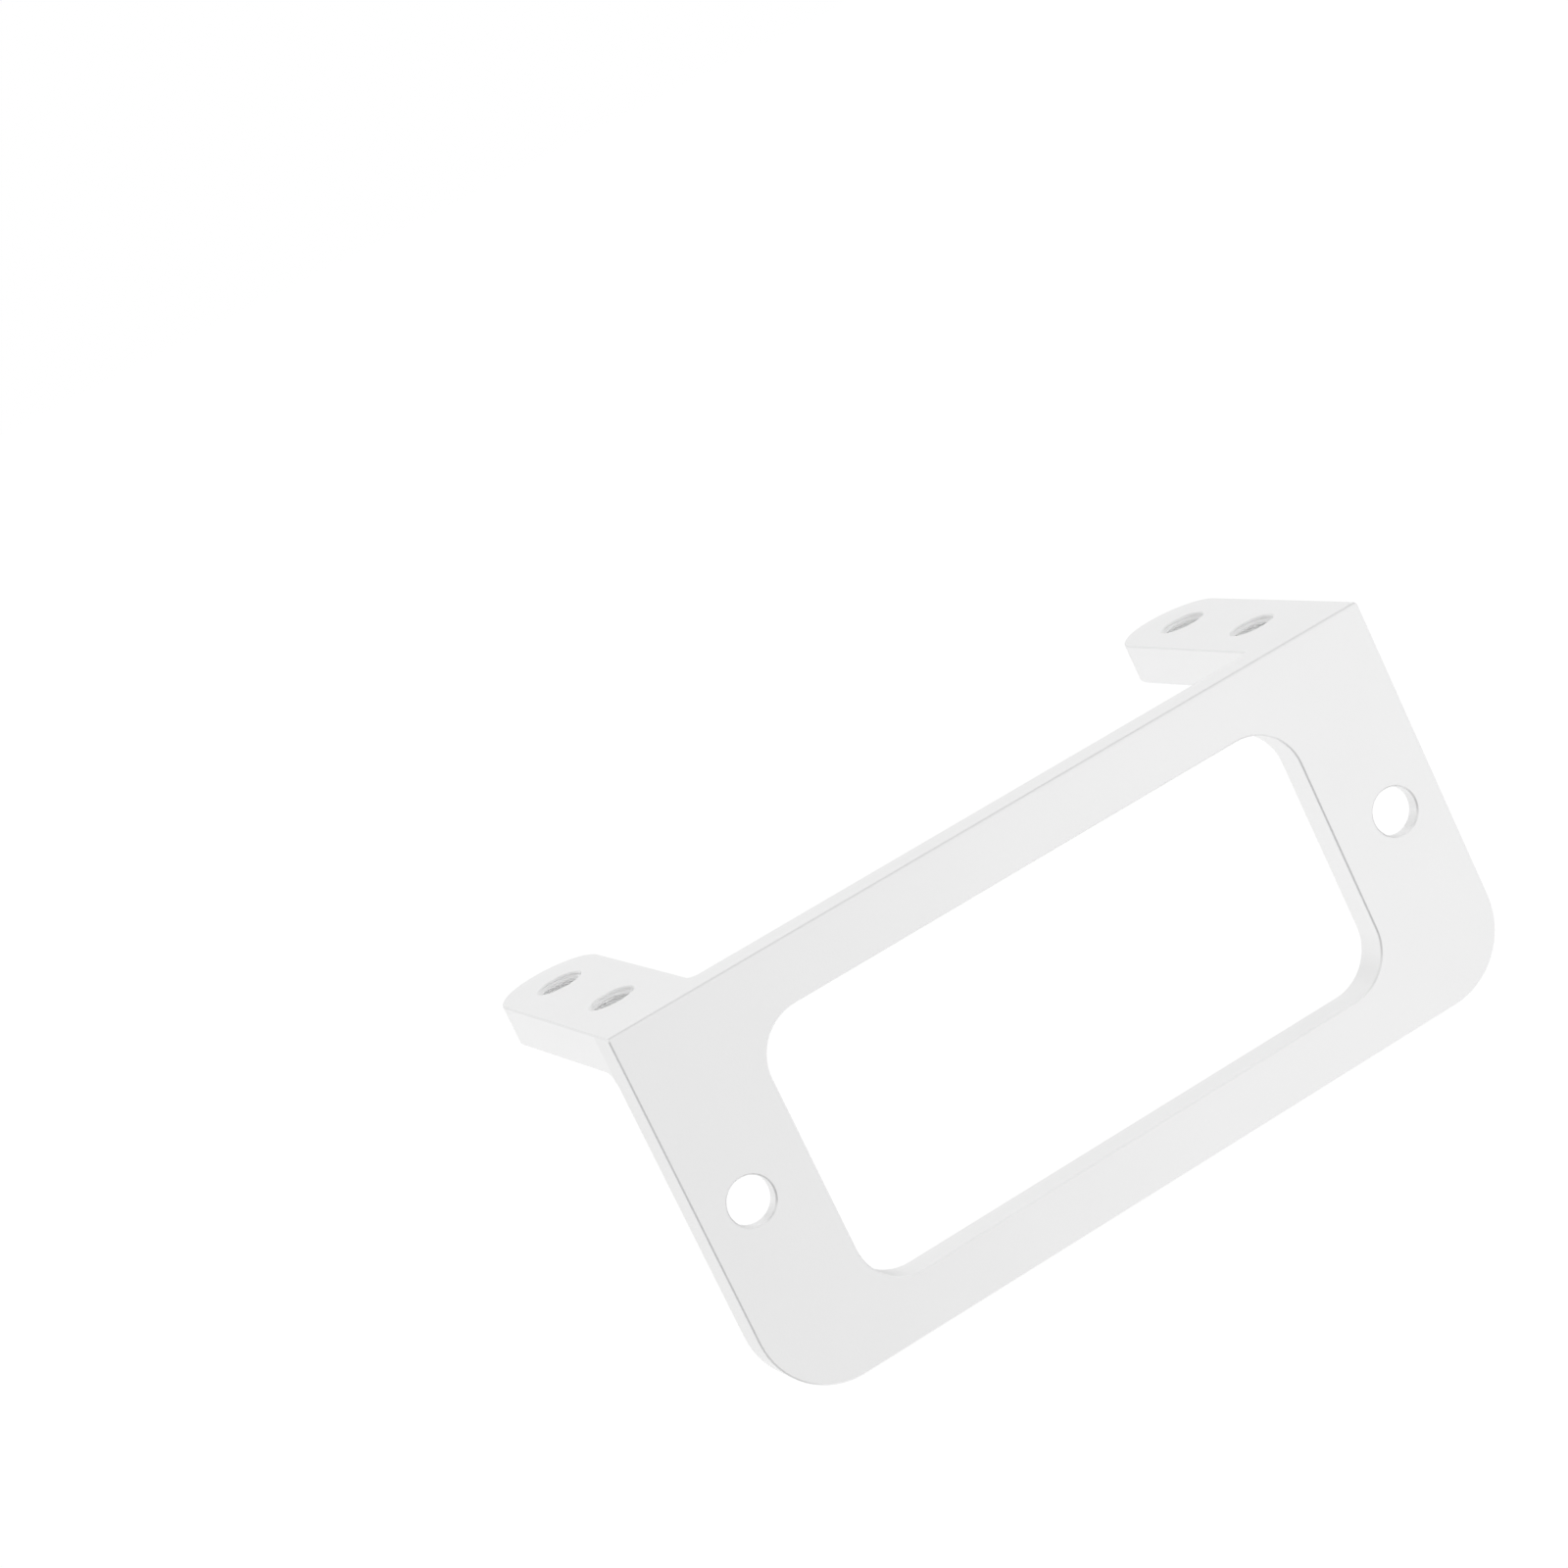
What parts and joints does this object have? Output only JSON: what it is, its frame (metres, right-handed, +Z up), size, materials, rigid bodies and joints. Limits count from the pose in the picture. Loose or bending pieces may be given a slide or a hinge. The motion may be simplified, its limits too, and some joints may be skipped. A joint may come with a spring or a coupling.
{
  "type": "servo bracket",
  "caption": "L-shaped aluminium bracket that holds a standard servo by its ears: an upright plate with a window and countersunk screw holes, and tapped tabs running back from its top edge.",
  "frame": {"origin": "midway between the plate's screw holes, on the plate's front face", "axes": "+X along the plate, +Y from the front face back over the tabs, +Z up to the tabs"},
  "size_m": [0.0566, 0.0233, 0.0264],
  "materials": {
    "anodised_aluminium": "clear anodised over a fine bead blast, pale silver and satin, with bright broken edges"
  },
  "bodies": {
    "root": {"servo_bracket": "anodised_aluminium"}
  },
  "joints": []
}
